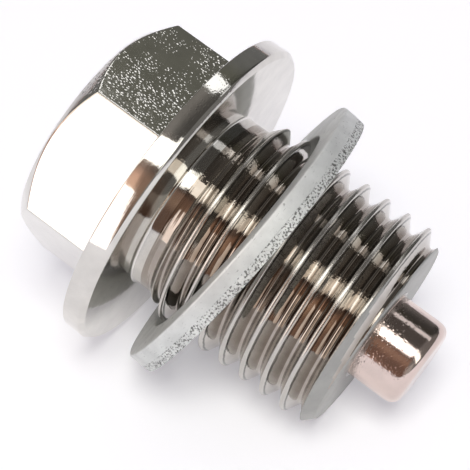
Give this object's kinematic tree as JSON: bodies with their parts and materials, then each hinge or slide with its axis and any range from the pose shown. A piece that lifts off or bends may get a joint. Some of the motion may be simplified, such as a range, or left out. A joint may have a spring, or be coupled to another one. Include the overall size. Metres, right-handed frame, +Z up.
{
  "type": "magnetic oil drain plug",
  "caption": "Hex-headed drain plug with a round flange, a threaded shank, a loose tilted sealing washer and a rounded magnet in its tip.",
  "frame": {"origin": "on the floor, under the middle of the whole part as it lies", "axes": "+Z up, +X along the floor in the direction that the plug points, from head to magnet; the plug's own axis dips 16.2 degrees below +X"},
  "size_m": [0.0266, 0.0212, 0.0207],
  "materials": {
    "plated_steel": "polished nickel plating",
    "washer_aluminium": "matt, blanked from sheet",
    "magnet_plating": "polished warm plating"
  },
  "bodies": {
    "root": {"plug_body": "plated_steel", "sealing_washer": "washer_aluminium", "magnet": "magnet_plating"}
  },
  "joints": []
}
